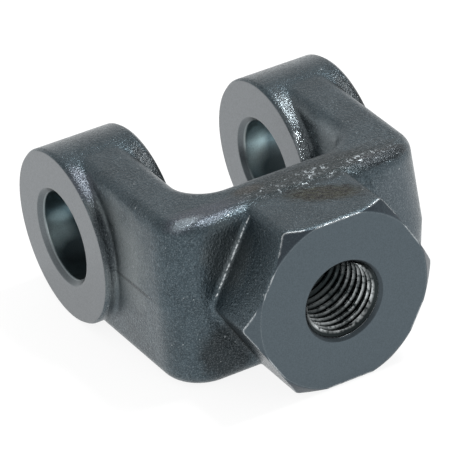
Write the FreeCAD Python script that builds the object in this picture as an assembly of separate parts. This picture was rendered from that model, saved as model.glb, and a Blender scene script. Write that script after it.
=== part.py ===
"""Forged clevis rod end: two eared arms, a U-shaped yoke and a hexagonal hub with a tapped hole."""
import FreeCAD, Part
import math
import os

from FreeCAD import Vector

# Driving dimensions, in millimetres. The origin lies on the pin bore's axis, midway between the ears.
# +X runs along the rod's axis towards the hub, +Y along the pin's axis, and z = 0 is the forging's
# parting plane.
PIN_TO_HUB_FACE = 38.1
FORK_WIDTH = 44.45
FORK_GAP = 20.0
DRAFT_DEG = 3.0

EAR_RADIUS = 12.7
EAR_RIM_DEPTH = 0.4
EAR_RIM_DROP = 0.28
EAR_OUTER_STAND_OUT = 1.4
EAR_INNER_STAND_OUT = 1.7
EAR_ABOVE_ARM = 0.2
PIN_BORE_DIAMETER = 12.8
PIN_BORE_CHAMFER = 0.75

ARM_TAPER_DEG = 0.9
WEB_THICKNESS = 8.45
CROTCH_CORNER_RADIUS = 4.2
SHOULDER_CORNER_RADIUS = 4.8
SHOULDER_CORNER_GROWTH = 1.5
YOKE_EDGE_RADIUS = 2.0
ARM_TOP_FLAT = 0.4

HUB_LENGTH = 9.55
HUB_SIDE_FLATS_APART = 25.4
HUB_SIDE_FLAT_LEAN_DEG = 30.0
HUB_FLAT_BELOW_YOKE = 0.1
HUB_RIDGE_RADIUS = 1.0
HUB_FACE_DIAMETER = 25.8
HUB_CHAMFER_DEG = 45.0
NECK_FILLET_RADIUS = 0.5

THREAD_MAJOR_DIAMETER = 11.11
THREAD_CHAMFER = 0.445

# Every machined edge is broken at this angle to the hole's axis.
COUNTERSINK_DEG = 45.0

# Sizes that follow from the driving dimensions
SHOULDER_FRONT_X = PIN_TO_HUB_FACE - HUB_LENGTH
CROTCH_X = SHOULDER_FRONT_X - WEB_THICKNESS
ARM_OUTER_Y = FORK_WIDTH / 2 - EAR_OUTER_STAND_OUT
ARM_INNER_Y = FORK_GAP / 2 + EAR_INNER_STAND_OUT
HALF_HEIGHT = EAR_RADIUS - EAR_ABOVE_ARM
DRAFT_SHRINK = HALF_HEIGHT * math.tan(math.radians(DRAFT_DEG))
HUB_TOP_Z = HALF_HEIGHT - HUB_FLAT_BELOW_YOKE
HUB_RIDGE_Y = HUB_SIDE_FLATS_APART / 2 / math.cos(math.radians(HUB_SIDE_FLAT_LEAN_DEG))
HUB_TOP_CORNER_Y = HUB_RIDGE_Y - HUB_TOP_Z * math.tan(math.radians(HUB_SIDE_FLAT_LEAN_DEG))
HUB_REACH = max(HUB_RIDGE_Y, math.hypot(HUB_TOP_CORNER_Y, HUB_TOP_Z))
SHOULDER_OUTER_Y = ARM_OUTER_Y - SHOULDER_FRONT_X * math.tan(math.radians(ARM_TAPER_DEG))

# A corner stays clear of the hub's ridge, and an edge's rounding leaves a flat along the arm's top.
SHOULDER_ROOM = SHOULDER_OUTER_Y - HUB_RIDGE_Y - NECK_FILLET_RADIUS
SHOULDER_RADIUS = min(SHOULDER_CORNER_RADIUS, SHOULDER_ROOM)
ARM_TOP_THICKNESS = SHOULDER_OUTER_Y - ARM_INNER_Y - 2 * DRAFT_SHRINK
EDGE_RADIUS = min(YOKE_EDGE_RADIUS, (ARM_TOP_THICKNESS - ARM_TOP_FLAT) / 2)

ORIGIN = Vector(0, 0, 0)
X_AXIS = Vector(1, 0, 0)
Y_AXIS = Vector(0, 1, 0)
Z_AXIS = Vector(0, 0, 1)
FULL_TURN_DEG = 360

# Tolerances for telling edges apart: same level, smooth join, and the step beside an edge that finds
# which way its face runs
LEVEL_TOLERANCE = 1e-6
SMOOTH_JOIN_DEG = 2.0
PROBE_STEP = 0.01


def arc_corner(before, corner, after, radius):
    """Return the start, middle and end points of the arc that rounds a corner."""
    to_before = (before - corner).normalize()
    to_after = (after - corner).normalize()
    half_angle = to_before.getAngle(to_after) / 2
    reach = radius / math.tan(half_angle)
    bisector = (to_before + to_after).normalize()
    middle = corner + bisector * (radius / math.sin(half_angle) - radius)
    return corner + to_before * reach, middle, corner + to_after * reach


def rounded_edges(corners):
    """Return the edges of a closed outline of (point, radius) corners, where radius 0 stays sharp."""
    runs = []
    for index, (corner, radius) in enumerate(corners):
        before = corners[index - 1][0]
        after = corners[(index + 1) % len(corners)][0]
        if radius > 0:
            runs.append(arc_corner(before, corner, after, radius))
        else:
            runs.append((corner, None, corner))
    edges = []
    for index, (start, middle, end) in enumerate(runs):
        if middle is not None:
            edges.append(Part.Arc(start, middle, end).toShape())
        next_start = runs[(index + 1) % len(runs)][0]
        edges.append(Part.LineSegment(end, next_start).toShape())
    return edges


def turned(points, axis):
    """Turn a solid about an axis through the origin from a flat outline."""
    return Part.Face(Part.makePolygon(points + points[:1])).revolve(ORIGIN, axis, FULL_TURN_DEG)


def is_concave(shape, edge):
    """Tell whether two faces meet at this edge as an inside corner."""
    faces = shape.ancestorsOfType(edge, Part.Face)
    if len(faces) != 2:
        return False
    first, last = edge.ParameterRange
    middle = (first + last) / 2
    point = edge.valueAt(middle)
    normals = []
    for face in faces:
        u, v = face.Surface.parameter(point)
        normals.append(face.normalAt(u, v))
    if normals[0].getAngle(normals[1]) < math.radians(SMOOTH_JOIN_DEG):
        return False
    sideways = normals[0].cross(edge.tangentAt(middle)) * PROBE_STEP
    if Part.Vertex(point + sideways).distToShape(faces[0])[0] > PROBE_STEP / 2:
        sideways = sideways * -1
    return sideways.dot(normals[1]) > 0


def fillet_inside_corners(shape, radius):
    """Run one fillet through every inside corner of a shape."""
    return shape.makeFillet(radius, [edge for edge in shape.Edges if is_concave(shape, edge)])


def corner_wall(low, high):
    """Join two level arcs: a cone where one stands right over the other, or else a ruled wall."""
    centre, shift = low.Curve.Center, high.Curve.Center - low.Curve.Center
    if math.hypot(shift.x, shift.y) > LEVEL_TOLERANCE:
        return Part.makeRuledSurface(low, high)
    start, end = low.valueAt(low.FirstParameter), low.valueAt(low.LastParameter)
    slant = Part.makeLine(start, high.valueAt(high.FirstParameter))
    sweep = math.degrees((start - centre).getAngle(end - centre))
    turning_left = (start - centre).cross(end - centre).z > 0
    return slant.revolve(centre, Z_AXIS if turning_left else Z_AXIS * -1, sweep)


def drafted_solid(lower_edges, upper_edges):
    """Close a solid between two level outlines, with flat walls between its corners."""
    faces = [Part.Face(Part.Wire(lower_edges)), Part.Face(Part.Wire(upper_edges))]
    for low, high in zip(lower_edges, upper_edges):
        if isinstance(low.Curve, Part.Line):
            ends = [low.valueAt(low.FirstParameter), low.valueAt(low.LastParameter),
                    high.valueAt(high.LastParameter), high.valueAt(high.FirstParameter)]
            faces.append(Part.Face(Part.makePolygon(ends + ends[:1])))
        else:
            faces.append(corner_wall(low, high))
    shell = Part.makeShell(faces)
    shell.sewShape()
    solid = Part.Solid(shell)
    if solid.Volume < 0:
        solid.reverse()
    return solid


def yoke_outline(height, inset, shoulder_radius):
    """Draw the yoke's U in plan at one height, its drafted walls drawn in by the draft's inset."""
    outer = ARM_OUTER_Y - inset
    inner = ARM_INNER_Y + inset
    shoulder = SHOULDER_OUTER_Y - inset
    crotch = CROTCH_X + inset
    crotch_radius = CROTCH_CORNER_RADIUS + inset
    return rounded_edges([
        (Vector(0, -outer, height), 0),
        (Vector(SHOULDER_FRONT_X, -shoulder, height), shoulder_radius),
        (Vector(SHOULDER_FRONT_X, shoulder, height), shoulder_radius),
        (Vector(0, outer, height), 0),
        (Vector(0, inner, height), 0),
        (Vector(crotch, inner, height), crotch_radius),
        (Vector(crotch, -inner, height), crotch_radius),
        (Vector(0, -inner, height), 0),
    ])


def yoke():
    """Make the arms and the web: two drafted halves that meet on the parting plane, edges rounded."""
    parting = yoke_outline(0, 0, SHOULDER_RADIUS)
    halves = []
    for height in (HALF_HEIGHT, -HALF_HEIGHT):
        end = yoke_outline(height, DRAFT_SHRINK, SHOULDER_RADIUS + SHOULDER_CORNER_GROWTH)
        halves.append(drafted_solid(parting, end))
    body = halves[0].fuse(halves[1])
    rims = []
    for edge in body.Edges:
        box = edge.BoundBox
        level = abs(box.ZMin + box.ZMax) / 2
        is_rim = box.ZLength < LEVEL_TOLERANCE and abs(level - HALF_HEIGHT) < LEVEL_TOLERANCE
        if is_rim and box.XMax > LEVEL_TOLERANCE:
            rims.append(edge)
    return body.makeFillet(EDGE_RADIUS, rims)


def ear(side):
    """Turn one ear boss about the pin's axis, with a bevelled rim on both of its faces."""
    inner_face = side * FORK_GAP / 2
    outer_face = side * FORK_WIDTH / 2
    face_radius = EAR_RADIUS - EAR_RIM_DROP
    return turned([
        Vector(0, inner_face, 0),
        Vector(0, inner_face, face_radius),
        Vector(0, inner_face + side * EAR_RIM_DEPTH, EAR_RADIUS),
        Vector(0, outer_face - side * EAR_RIM_DEPTH, EAR_RADIUS),
        Vector(0, outer_face, face_radius),
        Vector(0, outer_face, 0),
    ], Y_AXIS)


def hub():
    """Make the hexagonal hub, with two ridges on the parting plane and its end turned to a chamfer."""
    root_x = (CROTCH_X + SHOULDER_FRONT_X) / 2
    corners = []
    for side in (1, -1):
        corners.append(Vector(root_x, side * HUB_RIDGE_Y, 0))
        corners.append(Vector(root_x, side * HUB_TOP_CORNER_Y, side * HUB_TOP_Z))
        corners.append(Vector(root_x, -side * HUB_TOP_CORNER_Y, side * HUB_TOP_Z))
    hexagon = Part.Face(Part.Wire(rounded_edges([(corner, HUB_RIDGE_RADIUS) for corner in corners])))
    prism = hexagon.extrude(X_AXIS * (PIN_TO_HUB_FACE - root_x))
    face_radius = HUB_FACE_DIAMETER / 2
    slope = math.tan(math.radians(HUB_CHAMFER_DEG))
    envelope = turned([
        Vector(root_x, 0, 0),
        Vector(root_x, 0, HUB_REACH),
        Vector(PIN_TO_HUB_FACE - (HUB_REACH - face_radius) / slope, 0, HUB_REACH),
        Vector(PIN_TO_HUB_FACE, 0, face_radius),
        Vector(PIN_TO_HUB_FACE, 0, 0),
    ], X_AXIS)
    return prism.common(envelope)


def countersink(mouth, outward, diameter):
    """Make the cone that chamfers a hole to this diameter at its mouth, where it opens outward."""
    radius = diameter / 2
    depth = radius / math.tan(math.radians(COUNTERSINK_DEG))
    return Part.makeCone(radius, 0, depth, mouth, outward * -1)


def pin_bore():
    """Make the drill that bores both ears, and the countersinks that chamfer their four faces."""
    drill = Part.makeCylinder(PIN_BORE_DIAMETER / 2, 2 * FORK_WIDTH, Y_AXIS * -FORK_WIDTH, Y_AXIS)
    mouth_diameter = PIN_BORE_DIAMETER + 2 * PIN_BORE_CHAMFER
    sinks = []
    for side in (Y_AXIS, Y_AXIS * -1):
        sinks.append(countersink(side * (FORK_WIDTH / 2), side, mouth_diameter))
        sinks.append(countersink(side * (FORK_GAP / 2), side * -1, mouth_diameter))
    return drill.fuse(sinks)


def rod_hole():
    """Make the thread's hole through hub and web at its major diameter, countersunk at each end."""
    drill = Part.makeCylinder(THREAD_MAJOR_DIAMETER / 2, PIN_TO_HUB_FACE, ORIGIN, X_AXIS)
    mouth_diameter = THREAD_MAJOR_DIAMETER + 2 * THREAD_CHAMFER
    mouth_sink = countersink(X_AXIS * PIN_TO_HUB_FACE, X_AXIS, mouth_diameter)
    exit_sink = countersink(X_AXIS * CROTCH_X, X_AXIS * -1, mouth_diameter)
    return drill.fuse([mouth_sink, exit_sink])


def main():
    """Build the forging, machine its holes and save it."""
    web = fillet_inside_corners(yoke().fuse(hub()).removeSplitter(), NECK_FILLET_RADIUS)
    forging = web.fuse([ear(-1), ear(1)]).removeSplitter()
    body = forging.cut([pin_bore(), rod_hole()])
    print("valid", body.isValid(), "solids", len(body.Solids), "volume", body.Volume)
    os.makedirs("parts", exist_ok=True)
    body.exportStep("parts/clevis_body.step")


main()
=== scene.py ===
"""Looks of a forged clevis rod end: black-oxide finishes, the thread in its hub, and a plain studio."""
import logging
import math
from dataclasses import dataclass, field
from enum import Enum

import bmesh
import bpy
from mathutils import Matrix, Vector


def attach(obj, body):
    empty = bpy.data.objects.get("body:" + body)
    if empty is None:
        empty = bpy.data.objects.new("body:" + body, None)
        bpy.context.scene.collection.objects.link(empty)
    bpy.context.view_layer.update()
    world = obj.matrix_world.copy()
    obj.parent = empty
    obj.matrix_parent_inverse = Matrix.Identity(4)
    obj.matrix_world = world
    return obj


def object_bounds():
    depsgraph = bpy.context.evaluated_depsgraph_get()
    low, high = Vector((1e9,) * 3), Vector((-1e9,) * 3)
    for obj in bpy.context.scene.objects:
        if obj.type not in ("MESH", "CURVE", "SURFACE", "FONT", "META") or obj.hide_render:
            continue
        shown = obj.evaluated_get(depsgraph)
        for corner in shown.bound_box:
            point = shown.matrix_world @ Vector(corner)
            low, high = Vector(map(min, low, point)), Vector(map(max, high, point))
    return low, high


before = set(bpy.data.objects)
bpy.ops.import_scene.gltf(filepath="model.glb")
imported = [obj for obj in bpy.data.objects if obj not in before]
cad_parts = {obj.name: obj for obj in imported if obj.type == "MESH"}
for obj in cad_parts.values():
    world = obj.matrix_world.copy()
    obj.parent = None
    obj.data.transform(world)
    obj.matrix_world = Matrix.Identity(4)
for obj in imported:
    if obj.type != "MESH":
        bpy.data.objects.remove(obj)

LOG = logging.getLogger("clevis")
CAD_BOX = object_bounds()
BODY = "root"
FORGING_NODE = "clevis_body"
MM = 0.001
WHITE = (1.0, 1.0, 1.0, 1.0)
ROD_AXIS = (1, 0, 0)
# Each keeps the part of a point's place that lies square to the pin or to the rod
ACROSS_PIN = (1, 0, 1)
ACROSS_ROD = (0, 1, 1)

Tree = bpy.types.NodeTree
Socket = bpy.types.NodeSocket


def linear(hex_colour: str) -> tuple[float, float, float, float]:
    """Turn an sRGB hex colour into a linear RGBA value.

    Args:
        hex_colour: Six hex digits, as in "8a9196".

    Returns:
        Red, green, blue and an alpha of one.
    """
    channels = []
    for start in (0, 2, 4):
        value = int(hex_colour[start:start + 2], 16) / 255
        # These numbers are the sRGB standard's own curve
        channels.append(value / 12.92 if value <= 0.04045 else ((value + 0.055) / 1.055) ** 2.4)
    return channels[0], channels[1], channels[2], 1.0


def add_node(tree: Tree, kind: str, feeds: dict, output: int | str = 0,
             **settings: object) -> Socket | None:
    """Add one shader node, set it and feed its sockets.

    Args:
        tree: The node tree that gets the node.
        kind: The node's class name without its ShaderNode prefix.
        feeds: What each input gets, a value or another node's output.
        output: The output that the caller goes on with.
        settings: The node's own properties.

    Returns:
        The chosen output socket, or None where the node has none.
    """
    node = tree.nodes.new("ShaderNode" + kind)
    for name, value in settings.items():
        setattr(node, name, value)
    for name, value in feeds.items():
        if isinstance(value, bpy.types.NodeSocket):
            tree.links.new(value, node.inputs[name])
        else:
            node.inputs[name].default_value = value
    return node.outputs[output] if node.outputs else None


def new_material(name: str) -> tuple[bpy.types.Material, Tree]:
    """Make an empty node material.

    Args:
        name: The real material's name.

    Returns:
        The material and its node tree.
    """
    material = bpy.data.materials.new(name)
    material.use_nodes = True
    material.node_tree.nodes.clear()
    return material, material.node_tree


def in_millimetres(tree: Tree) -> Socket:
    """Scale the Object coordinates to millimetres."""
    metres = add_node(tree, "TexCoord", {}, "Object")
    return add_node(tree, "VectorMath", {0: metres, "Scale": 1 / MM}, operation="SCALE")


def from_axis(tree: Tree, place: Socket, across: tuple[int, int, int]) -> Socket:
    """Measure a point's distance from the pin's or the rod's axis."""
    square = add_node(tree, "VectorMath", {0: place, 1: across}, operation="MULTIPLY")
    return add_node(tree, "VectorMath", {0: square}, "Value", operation="LENGTH")


@dataclass(frozen=True)
class Grain:
    """A noise pattern: the size of its grains in millimetres, and the finer detail on them."""

    size_mm: float
    detail: float = 2.0
    raggedness: float = 0.5

    def at(self, place: Socket) -> dict:
        """Give a noise node's inputs."""
        return {"Vector": place, "Scale": 1 / self.size_mm, "Detail": self.detail,
                "Roughness": self.raggedness}


@dataclass(frozen=True)
class Span:
    """A stretch of a pattern's or a measure's values, and the results at its start and its end."""

    start: float
    end: float
    at_start: float = 0.0
    at_end: float = 1.0

    def of(self, value: Socket) -> dict:
        """Give a map range node's inputs."""
        return {"Value": value, "From Min": self.start, "From Max": self.end,
                "To Min": self.at_start, "To Max": self.at_end}


class Zone(Enum):
    """The zones of the forging that differ from its skin."""

    EAR_FACES = "ear faces"
    HUB_FACE = "hub face"
    HUB_BEVEL = "hub bevel"
    PIN_CHAMFER = "pin chamfer"
    BORE_LIP = "bore lip"
    PIN_BORE = "pin bore"
    ROD_HOLE = "rod hole"
    HUB_RIM = "hub rim"
    NECK = "neck"


@dataclass(frozen=True)
class ForgingPlan:
    """Where the zones lie, in millimetres, as the solid has them."""

    ear_outer_y: float = 22.225
    ear_inner_y: float = 10.0
    web_x: float = 20.1
    hub_root_x: float = 28.55
    hub_face_x: float = 38.1
    hub_face_radius: float = 12.9
    # The hub's edges get lines of painted highlight behind this place, and in part on a ring of the face
    hub_rim_x: float = 37.65
    hub_ring: tuple[float, float] = (9.0, 12.77)
    ring_highlight: float = 0.7
    bore_radius: float = 6.4
    bore_lip_radius: float = 6.54
    bore_mouth_radius: float = 7.15
    hole_mouth_radius: float = 6.0
    # The painted highlight line on the hub's neck, its two ends along the rod and in height
    neck_x: tuple[float, float] = (28.68, 28.8)
    neck_z: tuple[float, float] = (1.0, 11.6)
    # How far past the neck the painted highlight on the edges comes in, and how wide each zone's border
    # is
    neck_fade: float = 1.0
    band: float = 0.04

    def steps(self, tree: Tree, limits: dict[str, tuple[Socket, float, int]]) -> dict[str, Socket]:
        """Build a narrow step from 0 to 1 at each limit.

        Args:
            tree: The material's node tree.
            limits: For each name the measure, its limit, and 1 or -1 for the side that gets 1.

        Returns:
            Each name's step.
        """
        return {name: add_node(tree, "MapRange", Span(limit - side * self.band, limit).of(measure))
                for name, (measure, limit, side) in limits.items()}

    def masks(self, tree: Tree, place: Socket) -> dict[Zone, Socket]:
        """Build a mask for each zone.

        Args:
            tree: The material's node tree.
            place: The point on the surface, in millimetres.

        Returns:
            Each zone's mask, 1 inside the zone.
        """
        along_rod = add_node(tree, "SeparateXYZ", {0: place}, "X")
        along_pin = add_node(tree, "SeparateXYZ", {0: place}, "Y")
        height = add_node(tree, "SeparateXYZ", {0: place}, "Z")
        aside = add_node(tree, "Math", {0: along_pin}, operation="ABSOLUTE")
        from_pin = from_axis(tree, place, ACROSS_PIN)
        from_rod = from_axis(tree, place, ACROSS_ROD)
        on_cone = add_node(tree, "Math", {0: along_rod, 1: from_rod}, operation="ADD")
        step = self.steps(tree, {
            "outside": (aside, self.ear_outer_y, 1),
            "inside": (aside, self.ear_inner_y, -1),
            "before web": (along_rod, self.web_x, -1),
            "past web": (along_rod, self.web_x, 1),
            "past root": (along_rod, self.hub_root_x, 1),
            "hub face": (along_rod, self.hub_face_x, 1),
            "behind rim": (along_rod, self.hub_rim_x, -1),
            "ring inside": (from_rod, self.hub_ring[0], 1),
            "ring outside": (from_rod, self.hub_ring[1], -1),
            "cone": (on_cone, self.hub_face_x + self.hub_face_radius, 1),
            "pin mouth": (from_pin, self.bore_mouth_radius, -1),
            "pin lip": (from_pin, self.bore_lip_radius, -1),
            "pin bore": (from_pin, self.bore_radius, -1),
            "rod mouth": (from_rod, self.hole_mouth_radius, -1),
            "neck start": (along_rod, self.neck_x[0], 1),
            "neck end": (along_rod, self.neck_x[1], -1),
            "neck foot": (height, self.neck_z[0], 1),
            "neck top": (height, self.neck_z[1], -1),
        })
        both = {zone: add_node(tree, "Math", {0: step[one], 1: step[other]}, operation="MULTIPLY")
                for zone, one, other in ((Zone.EAR_FACES, "inside", "before web"),
                                         (Zone.HUB_BEVEL, "cone", "past root"),
                                         (Zone.ROD_HOLE, "rod mouth", "past web"),
                                         (Zone.HUB_RIM, "ring inside", "ring outside"),
                                         (Zone.NECK, "neck start", "neck end"))}
        neck_side = add_node(tree, "Math", {0: step["neck foot"], 1: step["neck top"]},
                             operation="MULTIPLY")
        return {
            **both,
            Zone.EAR_FACES: add_node(tree, "Math", {0: step["outside"], 1: both[Zone.EAR_FACES]},
                                     operation="MAXIMUM"),
            Zone.HUB_FACE: step["hub face"],
            Zone.PIN_CHAMFER: step["pin mouth"],
            Zone.BORE_LIP: step["pin lip"],
            Zone.PIN_BORE: step["pin bore"],
            Zone.HUB_RIM: add_node(tree, "Math", {0: both[Zone.HUB_RIM], 1: self.ring_highlight,
                                                  2: step["behind rim"]}, operation="MULTIPLY_ADD"),
            Zone.NECK: add_node(tree, "Math", {0: both[Zone.NECK], 1: neck_side}, operation="MULTIPLY"),
        }


@dataclass(frozen=True)
class Patch:
    """A soft-edged patch with its own tone, an ellipsoid that noise frays at its border."""

    colour: str
    centre_mm: tuple[float, float, float]
    half_size_mm: tuple[float, float, float]
    turn_deg: float = 0.0
    # How far noise frays the border, how many streaks it has, and how softly it ends
    fray: float = 1.6
    streaks: float = 2.6
    softness: float = 0.5
    # What the patch does to the colour, the roughness and the relief under it
    strength: float = 1.0
    roughness_change: float = 0.0
    relief_gain: float = 0.0
    # The share of its half size within which a patch with no fray is whole
    core: float = 0.65
    # How fine and how harsh the noise is that frays the border
    detail: float = 5.0
    raggedness: float = 0.65

    def add(self, tree: Tree, place: Socket) -> tuple[Socket, Socket]:
        """Build the patch's mask and the noise that frays it.

        Args:
            tree: The material's node tree.
            place: The point on the surface, in millimetres.

        Returns:
            The mask and the noise.
        """
        local = add_node(tree, "Mapping", {"Vector": place, "Location": self.centre_mm,
                                           "Rotation": (0.0, 0.0, math.radians(self.turn_deg)),
                                           "Scale": self.half_size_mm}, vector_type="TEXTURE")
        away = add_node(tree, "VectorMath", {0: local}, "Value", operation="LENGTH")
        torn = add_node(tree, "TexNoise", {"Vector": local, "Scale": self.streaks,
                                           "Detail": self.detail, "Roughness": self.raggedness}, "Fac")
        reach = add_node(tree, "Math", {0: torn, 1: self.fray, 2: away}, operation="MULTIPLY_ADD")
        whole = self.fray / 2 + self.core
        border = Span(whole + self.softness, whole, at_end=self.strength)
        return add_node(tree, "MapRange", border.of(reach)), torn


@dataclass(frozen=True)
class Surface:
    """The sockets that make up a surface while it is being laid."""

    colour: Socket
    roughness: Socket
    relief: Socket

    def under(self, tree: Tree, patch: Patch, place: Socket) -> "Surface":
        """Lay a patch over the surface.

        Args:
            tree: The material's node tree.
            patch: The patch.
            place: The point on the surface, in millimetres.

        Returns:
            The surface with the patch on it.
        """
        mask, torn = patch.add(tree, place)
        dents = add_node(tree, "Math", {0: mask, 1: torn}, operation="MULTIPLY")
        return Surface(
            add_node(tree, "MixRGB", {"Fac": mask, "Color1": self.colour,
                                      "Color2": linear(patch.colour)}),
            add_node(tree, "Math", {0: mask, 1: patch.roughness_change, 2: self.roughness},
                     operation="MULTIPLY_ADD"),
            add_node(tree, "Math", {0: dents, 1: patch.relief_gain, 2: self.relief},
                     operation="MULTIPLY_ADD"))


@dataclass(frozen=True)
class BlackOxideForging:
    """Closed-die forged steel, blasted, faced and bored, then blackened with hot oxide and oiled.

    The oxide is a thin dark film on bare metal, so the eye sees a dark blue-grey metal with the faint
    wet gloss of oil. The faced ends are satin and paler where the cutter left them flat, and the ear
    faces are painted paler still as painted light. The forged skin is duller and grainy from the
    blasting. The hub's sharp edges and its neck carry lines of painted highlight. Scale that tore from
    the hot steel left a dark scar on the web's top and bright flecks that are partly painted glints, and
    the creases beside the ear bosses hold painted shade and painted highlight.
    """

    skin_dark: str = "374349"
    skin_light: str = "4b5960"
    bare_steel_and_highlight: str = "cdd3d6"
    finishes: tuple[tuple[Zone, str], ...] = (
        # The ear faces' paler tone is painted light, and the hub bevel's darker tone is painted shade
        (Zone.HUB_BEVEL, "444c53"), (Zone.HUB_FACE, "555f65"), (Zone.EAR_FACES, "787c7f"),
        # The bore lip's pale ring is a painted highlight, and the pin bore's pale teal is partly painted
        # reflection
        (Zone.PIN_CHAMFER, "666c6f"), (Zone.BORE_LIP, "838b8d"), (Zone.PIN_BORE, "748185"),
        (Zone.ROD_HOLE, "444c51"))
    faced_roughness: float = 0.33
    film_weight: float = 0.25
    film_roughness: float = 0.2
    # Grit and the blasting's dimples are drawn as coarse as they need to be to show
    grit: Grain = Grain(0.18, detail=1.0)
    peen: Grain = Grain(0.36, raggedness=0.6)
    mottle: Grain = Grain(6.0, detail=4.0, raggedness=0.6)
    highlight_breakup: Grain = Grain(0.7, detail=4.0, raggedness=0.7)
    flake: Grain = Grain(1.1, detail=3.0, raggedness=0.7)
    dust: Grain = Grain(0.5)
    # How much the dimples count in the skin's tone, and the grit in its relief
    peen_in_tone: float = 1.2
    grit_in_relief: float = 0.4
    peen_depth_mm: float = 0.08
    # The skin's tone and gloss, the scar's tone, and the brightness that grit gives every surface
    skin_tone: Span = Span(0.8, 1.4)
    skin_gloss: Span = Span(0.3, 0.7, 0.42, 0.26)
    scar_tone: Span = Span(0.44, 0.54)
    grit_light: Span = Span(0.3, 0.7, 0.9, 1.1)
    # Where a chip of scale has gone and where a painted glint lights it, and where bright grains and
    # specks stand
    chip: Span = Span(0.53, 0.6)
    glint: Span = Span(0.46, 0.6)
    bright_grain: Span = Span(0.5, 0.9, at_end=0.16)
    speck: Span = Span(0.71, 0.77, at_end=0.5)
    # How alike two normals are at an edge, and where the painted highlight on edges and neck is broken
    edge: Span = Span(0.99, 0.95)
    patchy_edge_highlight: Span = Span(0.34, 0.5)
    neck_highlight_chain: Span = Span(0.46, 0.54)
    # How widely the shading rounds machined edges and forged ones, and with how many samples
    edge_radius_mm: float = 0.4
    edge_samples: int = 8
    forged_radius_mm: float = 1.3
    forged_samples: int = 12
    plan: ForgingPlan = field(default_factory=ForgingPlan)
    skin_patches: tuple[Patch, ...] = (
        # The outer sides of the near arm and the far arm, painted lighter as painted light
        Patch("6e7678", (13.0, -21.0, 4.0), (9.0, 2.0, 9.0), fray=0.9),
        Patch("666d6f", (18.0, 21.0, 0.0), (11.0, 2.5, 12.0), fray=0.9),
        # The web's front wall on the far side, painted lighter as painted light
        Patch("535d63", (28.6, 15.5, 4.0), (1.6, 6.5, 9.0), fray=0.9),
        # Two lighter places that stand for light: the far arm's inner side, and beside the hub's neck
        Patch("737c80", (15.2, 12.2, 7.0), (4.4, 1.6, 6.5), fray=0.5),
        Patch("555d60", (29.5, -12.0, 7.0), (3.2, 3.6, 5.5), fray=0.9, relief_gain=1.5),
        # The near boss's crease, darkened as painted shade, and a painted highlight above it
        Patch("3a4145", (11.0, -21.3, 4.0), (3.6, 1.3, 6.5), fray=1.0, relief_gain=1.5),
        Patch("525860", (6.2, -21.2, 11.0), (3.4, 1.5, 3.0), fray=0.9, roughness_change=0.05,
              relief_gain=1.5),
        # The far boss's bright streak and its whiter lower part, both painted highlight
        Patch("5a6266", (7.6, 11.5, 9.4), (6.0, 1.7, 6.0), fray=0.8, streaks=4.0,
              roughness_change=-0.1, relief_gain=1.4),
        Patch("a8b0b4", (10.6, 10.8, 7.0), (2.2, 1.2, 3.6), fray=0.8, streaks=4.0,
              roughness_change=-0.14, relief_gain=6.0),
        # The strips on the near boss's inner rim and the far boss's outer rim, darkened as painted shade
        Patch("22282b", (8.0, -11.4, 9.4), (7.0, 1.8, 6.0), fray=0.8, roughness_change=0.1),
        Patch("22282b", (8.0, 20.9, 9.4), (7.0, 1.8, 6.0), fray=0.8, roughness_change=0.1),
        # The trimmed flash's line along the near arm
        Patch("30363a", (17.5, -20.5, 0.2), (6.5, 1.5, 0.3), fray=0.9, strength=0.7),
        # The web's dark top edge, and a touch of rust on it
        Patch("262c2c", (25.4, 3.5, 12.5), (2.8, 11.0, 1.6), fray=1.4, softness=0.8, strength=0.75,
              relief_gain=3.0),
        Patch("4b4339", (24.0, -5.6, 12.5), (1.0, 2.4, 1.0), fray=1.8, streaks=4.0, strength=0.45),
        # The far shoulder's edge, darkened as painted shade
        Patch("2c3236", (27.0, 13.8, 12.4), (1.5, 5.5, 1.0), fray=1.2, roughness_change=0.04,
              relief_gain=3.0),
        # The near shoulder's edge, painted a little lighter, and a painted highlight at its end
        Patch("4d525b", (25.8, -13.6, 12.2), (2.2, 6.4, 1.4), fray=0.9, strength=0.8,
              roughness_change=0.05, relief_gain=1.0),
        Patch("929ea5", (26.3, -16.6, 12.4), (0.7, 1.8, 0.8), fray=2.4, streaks=5.0, softness=0.9,
              strength=0.7, relief_gain=4.0),
        # The dark lower wall under the near shoulder, which stands for shade
        Patch("1d2224", (28.5, -13.0, -7.6), (1.6, 4.6, 5.0), fray=0.8, strength=0.75),
    )
    machined_patches: tuple[tuple[Zone, Patch], ...] = (
        # The soft light in each pin bore, and the shade beside it
        (Zone.PIN_BORE, Patch("dce8e8", (-6.0, -19.8, -3.2), (2.4, 1.6, 2.4), fray=0.2, softness=1.0)),
        (Zone.PIN_BORE, Patch("4a5255", (-3.4, -18.2, -5.2), (2.8, 3.4, 2.2), fray=0.2, softness=0.9)),
        (Zone.PIN_BORE, Patch("dce8e8", (-6.2, 12.2, 0.6), (2.6, 1.5, 3.6), fray=0.2, softness=1.0)),
        (Zone.PIN_BORE, Patch("4a5356", (-5.2, 14.8, -4.6), (2.4, 3.0, 2.8), fray=0.2, softness=0.9)),
        # The bevel's near corner, painted as pale as the hub's face as painted light
        (Zone.HUB_BEVEL, Patch("555f65", (36.9, -14.0, 0.5), (3.0, 4.0, 5.0), fray=0.2)),
    )
    scar: Patch = Patch("3b3d31", (30.9, 2.2, 12.4), (5.6, 2.2, 1.6), 60.0, streaks=4.5)
    scar_dark: str = "090b0a"
    flecked: Patch = Patch("b4bdc2", (25.9, 3.6, 12.4), (1.9, 11.0, 2.0), fray=1.2)

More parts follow.
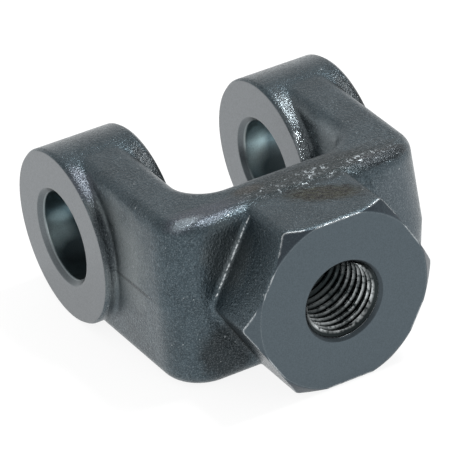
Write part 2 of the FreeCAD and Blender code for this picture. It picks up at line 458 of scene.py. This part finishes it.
    def skin(self, tree: Tree, place: Socket, grit: Socket, peen: Socket) -> Surface:
        """Lay the forged skin: a grainy blue-grey with its patches, many of them painted light and
        painted shade.

        Args:
            tree: The material's node tree.
            place: The point on the surface, in millimetres.
            grit: The noise of the fine grit.
            peen: The noise of the blasted dimples.

        Returns:
            The skin.
        """
        mottle = add_node(tree, "TexNoise", self.mottle.at(place), "Fac")
        spread = add_node(tree, "Math", {0: peen, 1: self.peen_in_tone, 2: mottle},
                          operation="MULTIPLY_ADD")
        tone = add_node(tree, "MapRange", self.skin_tone.of(spread))
        colour = add_node(tree, "MixRGB", {"Fac": tone, "Color1": linear(self.skin_dark),
                                           "Color2": linear(self.skin_light)})
        gloss = add_node(tree, "MapRange", self.skin_gloss.of(peen))
        relief = add_node(tree, "Math", {0: grit, 1: self.grit_in_relief, 2: peen},
                          operation="MULTIPLY_ADD")
        skin = Surface(colour, gloss, relief)
        for patch in self.skin_patches:
            skin = skin.under(tree, patch, place)
        return skin

    def marked(self, tree: Tree, place: Socket, colour: Socket, grit: Socket, peen: Socket) -> Socket:
        """Mark the skin with the torn scar, the flecks beside it that are partly painted glints, and
        bright grains and specks.

        Args:
            tree: The material's node tree.
            place: The point on the surface, in millimetres.
            colour: The skin's colour.
            grit: The noise that picks the bright grains.
            peen: The noise that lets the flecks glint.

        Returns:
            The skin's colour with its marks.
        """
        scar, torn = self.scar.add(tree, place)
        scar_tone = add_node(tree, "MapRange", self.scar_tone.of(torn))
        scar_colour = add_node(tree, "MixRGB", {"Fac": scar_tone, "Color1": linear(self.scar_dark),
                                                "Color2": linear(self.scar.colour)})
        fleck, _ = self.flecked.add(tree, place)
        flake = add_node(tree, "TexNoise", self.flake.at(place), "Fac")
        chip = add_node(tree, "MapRange", self.chip.of(flake))
        glint = add_node(tree, "MapRange", self.glint.of(peen))
        for factor in (chip, glint):
            fleck = add_node(tree, "Math", {0: fleck, 1: factor}, operation="MULTIPLY")
        grain = add_node(tree, "MapRange", self.bright_grain.of(grit))
        dust = add_node(tree, "TexNoise", self.dust.at(place), "Fac")
        speck = add_node(tree, "MapRange", self.speck.of(dust))
        bare = linear(self.bare_steel_and_highlight)
        for mask, over in ((scar, scar_colour), (fleck, linear(self.flecked.colour)),
                           (grain, bare), (speck, bare)):
            colour = add_node(tree, "MixRGB", {"Fac": mask, "Color1": colour, "Color2": over})
        return colour

    def painted_edge_highlights(self, tree: Tree, place: Socket, rounded: Socket, zones: dict[Zone, Socket]) -> Socket:
        """Find the hub's edges and its neck, where a painted highlight shows in places.

        Args:
            tree: The material's node tree.
            place: The point on the surface, in millimetres.
            rounded: The normal with its edges rounded.
            zones: The zones' masks.

        Returns:
            A mask that is 1 where the painted highlight shows.
        """
        flat = add_node(tree, "NewGeometry", {}, "Normal")
        alike = add_node(tree, "VectorMath", {0: rounded, 1: flat}, "Value", operation="DOT_PRODUCT")
        edge = add_node(tree, "MapRange", self.edge.of(alike))
        highlight_breakup = add_node(tree, "TexNoise", self.highlight_breakup.at(place), "Fac")
        patchy = add_node(tree, "MapRange", self.patchy_edge_highlight.of(highlight_breakup))
        along_rod = add_node(tree, "SeparateXYZ", {0: place}, "X")
        neck_end = self.plan.neck_x[1]
        past_neck = add_node(tree, "MapRange",
                             Span(neck_end, neck_end + self.plan.neck_fade).of(along_rod))
        for factor in (past_neck, zones[Zone.HUB_RIM]):
            edge = add_node(tree, "Math", {0: edge, 1: factor}, operation="MULTIPLY")
        chain = add_node(tree, "MapRange", self.neck_highlight_chain.of(highlight_breakup))
        neck = add_node(tree, "Math", {0: zones[Zone.NECK], 1: chain}, operation="MULTIPLY")
        bright = add_node(tree, "Math", {0: edge, 1: neck}, operation="MAXIMUM")
        return add_node(tree, "Math", {0: bright, 1: patchy}, operation="MULTIPLY")

    def build(self) -> bpy.types.Material:
        """Make the forging's material, with its zones masked by place.

        Returns:
            The material.
        """
        material, tree = new_material("black_oxide_forged_steel")
        place = in_millimetres(tree)
        zones = self.plan.masks(tree, place)
        grit = add_node(tree, "TexNoise", self.grit.at(place), "Fac")
        peen = add_node(tree, "TexNoise", self.peen.at(place), "Fac")
        rounded = add_node(tree, "Bevel", {"Radius": self.edge_radius_mm * MM},
                           samples=self.edge_samples)
        forged = add_node(tree, "Bevel", {"Radius": self.forged_radius_mm * MM},
                          samples=self.forged_samples)
        skin = self.skin(tree, place, grit, peen)
        colour = self.marked(tree, place, skin.colour, grit, peen)
        machined = zones[Zone.HUB_BEVEL]
        for zone, shade in self.finishes:
            colour = add_node(tree, "MixRGB", {"Fac": zones[zone], "Color1": colour,
                                               "Color2": linear(shade)})
            machined = add_node(tree, "Math", {0: machined, 1: zones[zone]}, operation="MAXIMUM")
        # Patches of painted light and painted shade on the machined zones
        for zone, patch in self.machined_patches:
            painted_light_patch, _ = patch.add(tree, place)
            inside = add_node(tree, "Math", {0: painted_light_patch, 1: zones[zone]}, operation="MULTIPLY")
            colour = add_node(tree, "MixRGB", {"Fac": inside, "Color1": colour,
                                               "Color2": linear(patch.colour)})
        on_skin = add_node(tree, "Math", {0: 1.0, 1: machined}, operation="SUBTRACT")
        # The hub's edges and neck get bright lines of painted highlight
        colour = add_node(tree, "MixRGB", {"Fac": self.painted_edge_highlights(tree, place, rounded, zones),
                                           "Color1": colour, "Color2": linear(self.bare_steel_and_highlight)})
        light = add_node(tree, "MapRange", self.grit_light.of(grit))
        colour = add_node(tree, "HueSaturation", {"Color": colour, "Value": light})
        gloss = add_node(tree, "Mix", {"Factor": machined, "A": skin.roughness,
                                       "B": self.faced_roughness}, 0, data_type="FLOAT")
        soft = add_node(tree, "Mix", {"Factor": machined, "A": forged, "B": rounded}, 1,
                        data_type="VECTOR")
        bump = add_node(tree, "Bump", {"Strength": on_skin, "Distance": self.peen_depth_mm * MM,
                                       "Height": skin.relief, "Normal": soft})
        film = add_node(tree, "Math", {0: on_skin, 1: self.film_weight}, operation="MULTIPLY")
        surface = add_node(tree, "BsdfPrincipled", {"Base Color": colour, "Metallic": 1.0,
                                                    "Roughness": gloss, "Normal": bump,
                                                    "Coat Weight": film, "Coat Normal": bump,
                                                    "Coat Roughness": self.film_roughness})
        add_node(tree, "OutputMaterial", {"Surface": surface})
        return material


@dataclass(frozen=True)
class BlackOxideThread:
    """Cut threads, blackened and then oiled: roots in painted shade, crests in painted highlight."""

    root: str = "2b3132"
    crest: str = "d8dedf"
    # The tap's tears, and the wider patches that break up the crests' painted highlight
    tear: Grain = Grain(0.5, detail=3.0)
    highlight_noise: Grain = Grain(2.6)
    gloss: Span = Span(0.3, 0.7, 0.12, 0.32)
    torn: Span = Span(0.34, 0.54)
    painted_light_patch: Span = Span(0.38, 0.6, at_start=0.35)
    # The crests' painted highlight brightens from root to crest radius, and from the painted shade deep
    # in the hole to its mouth
    ridge_mm: Span = Span(5.25, 4.9)
    depth_mm: Span = Span(27.5, 37.2)

    def build(self) -> bpy.types.Material:
        """Make the thread's material.

        Returns:
            The material.
        """
        material, tree = new_material("black_oxide_cut_thread")
        place = in_millimetres(tree)
        tear = add_node(tree, "TexNoise", self.tear.at(place), "Fac")
        highlight_noise = add_node(tree, "TexNoise", self.highlight_noise.at(place), "Fac")
        gloss = add_node(tree, "MapRange", self.gloss.of(tear))
        along_rod = add_node(tree, "SeparateXYZ", {0: place}, "X")
        crest_highlight = add_node(tree, "MapRange", self.ridge_mm.of(from_axis(tree, place, ACROSS_ROD)))
        for span, value in ((self.depth_mm, along_rod), (self.torn, tear), (self.painted_light_patch, highlight_noise)):
            factor = add_node(tree, "MapRange", span.of(value))
            crest_highlight = add_node(tree, "Math", {0: crest_highlight, 1: factor}, operation="MULTIPLY")
        colour = add_node(tree, "MixRGB", {"Fac": crest_highlight, "Color1": linear(self.root),
                                           "Color2": linear(self.crest)})
        surface = add_node(tree, "BsdfPrincipled", {"Base Color": colour, "Metallic": 1.0,
                                                    "Roughness": gloss})
        add_node(tree, "OutputMaterial", {"Surface": surface})
        return material


@dataclass
class RodThread:
    """The tapped hole's thread: a ridge that winds along the wall of the hub's hole.

    The sizes are those of a unified 7/16-20 thread, in millimetres: its root lies on the hole's wall.
    """

    pitch: float = 1.27
    wall_radius: float = 5.555
    crest_radius: float = 4.87
    # Half the ridge's width at its base and at its crest, as shares of the pitch
    half_base: float = 7 / 16
    half_crest: float = 1 / 8
    start_x: float = 20.95
    end_x: float = 37.4
    # The countersink's rim at the hub's face, and how deep the ridge is sunk in the wall
    mouth_x: float = 38.1
    mouth_radius: float = 6.0
    sunk: float = 0.06
    steps_per_turn: int = 72
    sharp_deg: float = 20.0

    def mesh(self) -> bpy.types.Mesh:
        """Sweep the ridge's profile along the helix and trim it to the countersink.

        Returns:
            The thread's mesh, in metres.
        """
        mesh = bmesh.new()
        base = self.pitch * self.half_base
        crest = self.pitch * self.half_crest
        profile = [(-base, self.wall_radius + self.sunk), (-base, self.wall_radius),
                   (-crest, self.crest_radius), (crest, self.crest_radius),
                   (base, self.wall_radius), (base, self.wall_radius + self.sunk)]
        corners = [mesh.verts.new((self.start_x + along, 0.0, radius)) for along, radius in profile]
        edges = [mesh.edges.new(pair) for pair in zip(corners, corners[1:])]
        turns = (self.end_x - self.start_x) / self.pitch
        steps = round(turns * self.steps_per_turn)
        bmesh.ops.spin(mesh, geom=corners + edges, cent=(0, 0, 0), axis=ROD_AXIS,
                       dvec=(self.pitch / self.steps_per_turn, 0, 0), angle=turns * math.tau,
                       steps=steps, use_merge=False, use_duplicate=False)
        for vert in mesh.verts:
            radius = math.hypot(vert.co.y, vert.co.z)
            least = self.mouth_radius + self.sunk - (self.mouth_x - vert.co.x)
            if radius < least:
                vert.co.y *= least / radius
                vert.co.z *= least / radius
        bmesh.ops.recalc_face_normals(mesh, faces=mesh.faces)
        bmesh.ops.scale(mesh, vec=(MM, MM, MM), verts=mesh.verts)
        data = bpy.data.meshes.new("rod_thread")
        mesh.to_mesh(data)
        mesh.free()
        data.shade_smooth()
        data.set_sharp_from_angle(angle=math.radians(self.sharp_deg))
        return data

    def build(self, material: bpy.types.Material) -> bpy.types.Object:
        """Make the thread as a piece that rides on the forging.

        Args:
            material: The thread's finish.

        Returns:
            The thread's object.
        """
        piece = bpy.data.objects.new("rod_thread", self.mesh())
        bpy.context.scene.collection.objects.link(piece)
        piece.data.materials.append(material)
        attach(piece, BODY)
        return piece


@dataclass
class Forging:
    """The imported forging, which keeps its shape and gets its finish here."""

    finish: BlackOxideForging = field(default_factory=BlackOxideForging)

    def dress(self) -> bpy.types.Object:
        """Give the forging its material.

        Returns:
            The forging's object.
        """
        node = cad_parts[FORGING_NODE]
        material = self.finish.build()
        node.data.materials.clear()
        node.data.materials.append(material)
        return node


@dataclass(frozen=True)
class SoftBox:
    """One square studio lamp, its place and size in metres."""

    name: str
    place: tuple[float, float, float]
    size: float
    watts: float

    def build(self) -> None:
        """Hang the lamp so that it faces the object."""
        lamp = bpy.data.lights.new(self.name, "AREA")
        lamp.shape = "SQUARE"
        lamp.size = self.size
        lamp.energy = self.watts
        holder = bpy.data.objects.new(self.name, lamp)
        holder.location = self.place
        holder.rotation_euler = (-Vector(self.place)).to_track_quat("-Z", "Y").to_euler()
        bpy.context.scene.collection.objects.link(holder)


@dataclass
class Studio:
    """A pale seamless floor, plain soft light and the camera."""

    floor_size: float = 6.0
    floor_colour: str = "747474"
    # What the paper adds to itself where it is shown, so that it shows white
    paper_glow: float = 0.88
    # The room's strength as a light, and as it shows: white at the horizon, dimmer at the ceiling
    ambient: float = 0.75
    room: Span = Span(0.05, 0.5, 1.0, 0.6)
    # The camera was fitted to the edges and corners that the photograph shows
    aim_mm: tuple[float, float, float] = (3.7328, 1.1400, -4.8097)
    azimuth_deg: float = 62.7612
    elevation_deg: float = 30.18
    roll_deg: float = -5.402
    distance_mm: float = 511.5
    lens_mm: float = 292.78
    sensor_mm: float = 36.0
    clip_m: tuple[float, float] = (0.02, 20.0)
    lamps: tuple[SoftBox, ...] = (
        SoftBox("key_softbox", (0.014, 0.28, 0.644), 0.14, 3.4),
    )

    def shown(self, tree: Tree) -> Socket:
        """Tell the rays that show the backdrop, straight or in metal, from those that light the room.

        Args:
            tree: The node tree of the floor or the world.

        Returns:
            A mask that is 1 where the backdrop is shown.
        """
        seen = add_node(tree, "LightPath", {}, "Is Camera Ray")
        for ray in ("Is Glossy Ray", "Is Transmission Ray"):
            other = add_node(tree, "LightPath", {}, ray)
            seen = add_node(tree, "Math", {0: seen, 1: other}, operation="MAXIMUM")
        return seen

    def add_floor(self) -> None:
        """Lay the floor just under the object, in matt paper: an even white with a soft shadow."""
        low = CAD_BOX[0][2]
        mesh = bmesh.new()
        bmesh.ops.create_grid(mesh, x_segments=1, y_segments=1, size=self.floor_size / 2)
        bmesh.ops.translate(mesh, vec=(0, 0, low), verts=mesh.verts)
        data = bpy.data.meshes.new("studio_floor")
        mesh.to_mesh(data)
        mesh.free()
        floor = bpy.data.objects.new("studio_floor", data)
        bpy.context.scene.collection.objects.link(floor)
        material, tree = new_material("white_paper_backdrop")
        paper = add_node(tree, "BsdfDiffuse", {"Color": linear(self.floor_colour)})
        glow = add_node(tree, "Emission", {"Color": WHITE, "Strength": self.paper_glow})
        bright = add_node(tree, "AddShader", {0: paper, 1: glow})
        surface = add_node(tree, "MixShader", {0: self.shown(tree), 1: paper, 2: bright})
        add_node(tree, "OutputMaterial", {"Surface": surface})
        data.materials.append(material)

    def add_world(self) -> None:
        """Fill the room with even light, and show it white at the horizon and dimmer at the ceiling."""
        world = bpy.data.worlds.new("studio_room")
        world.use_nodes = True
        world.node_tree.nodes.clear()
        tree = world.node_tree
        direction = add_node(tree, "TexCoord", {}, "Generated")
        rise = add_node(tree, "SeparateXYZ", {0: direction}, "Z")
        backdrop = add_node(tree, "MapRange", self.room.of(rise))
        strength = add_node(tree, "MapRange", {"Value": self.shown(tree), "To Min": self.ambient,
                                               "To Max": backdrop})
        light = add_node(tree, "Background", {"Color": WHITE, "Strength": strength})
        add_node(tree, "OutputWorld", {"Surface": light})
        bpy.context.scene.world = world

    def add_camera(self) -> None:
        """Place the camera at the photograph's viewing angle."""
        azimuth, elevation, roll = (math.radians(angle) for angle in
                                    (self.azimuth_deg, self.elevation_deg, self.roll_deg))
        back = Vector((math.sin(azimuth) * math.cos(elevation), -math.cos(azimuth) * math.cos(elevation),
                       math.sin(elevation)))
        level = Vector((math.cos(azimuth), math.sin(azimuth), 0.0))
        rise = back.cross(level)
        right = level * math.cos(roll) + rise * math.sin(roll)
        up = rise * math.cos(roll) - level * math.sin(roll)
        data = bpy.data.cameras.new("camera")
        data.sensor_fit = "HORIZONTAL"
        data.sensor_width = self.sensor_mm
        data.lens = self.lens_mm
        data.clip_start, data.clip_end = self.clip_m
        camera = bpy.data.objects.new("camera", data)
        turn = Matrix((right, up, back)).transposed().to_4x4()
        place = Matrix.Translation((Vector(self.aim_mm) + back * self.distance_mm) * MM)
        camera.matrix_world = place @ turn
        bpy.context.scene.collection.objects.link(camera)
        bpy.context.scene.camera = camera

    def build(self) -> None:
        """Set up floor, room, lamps and camera."""
        self.add_camera()
        self.add_floor()
        self.add_world()
        for lamp in self.lamps:
            lamp.build()
        bpy.context.scene.view_settings.view_transform = "Standard"


def main() -> None:
    """Dress the forging, add its thread and set the stage."""
    logging.basicConfig(level=logging.INFO)
    Studio().build()
    node = Forging().dress()
    LOG.info("dressed %s", node.name)
    thread = RodThread().build(BlackOxideThread().build())
    LOG.info("made %s with %d faces", thread.name, len(thread.data.polygons))


if __name__ == "__main__":
    main()
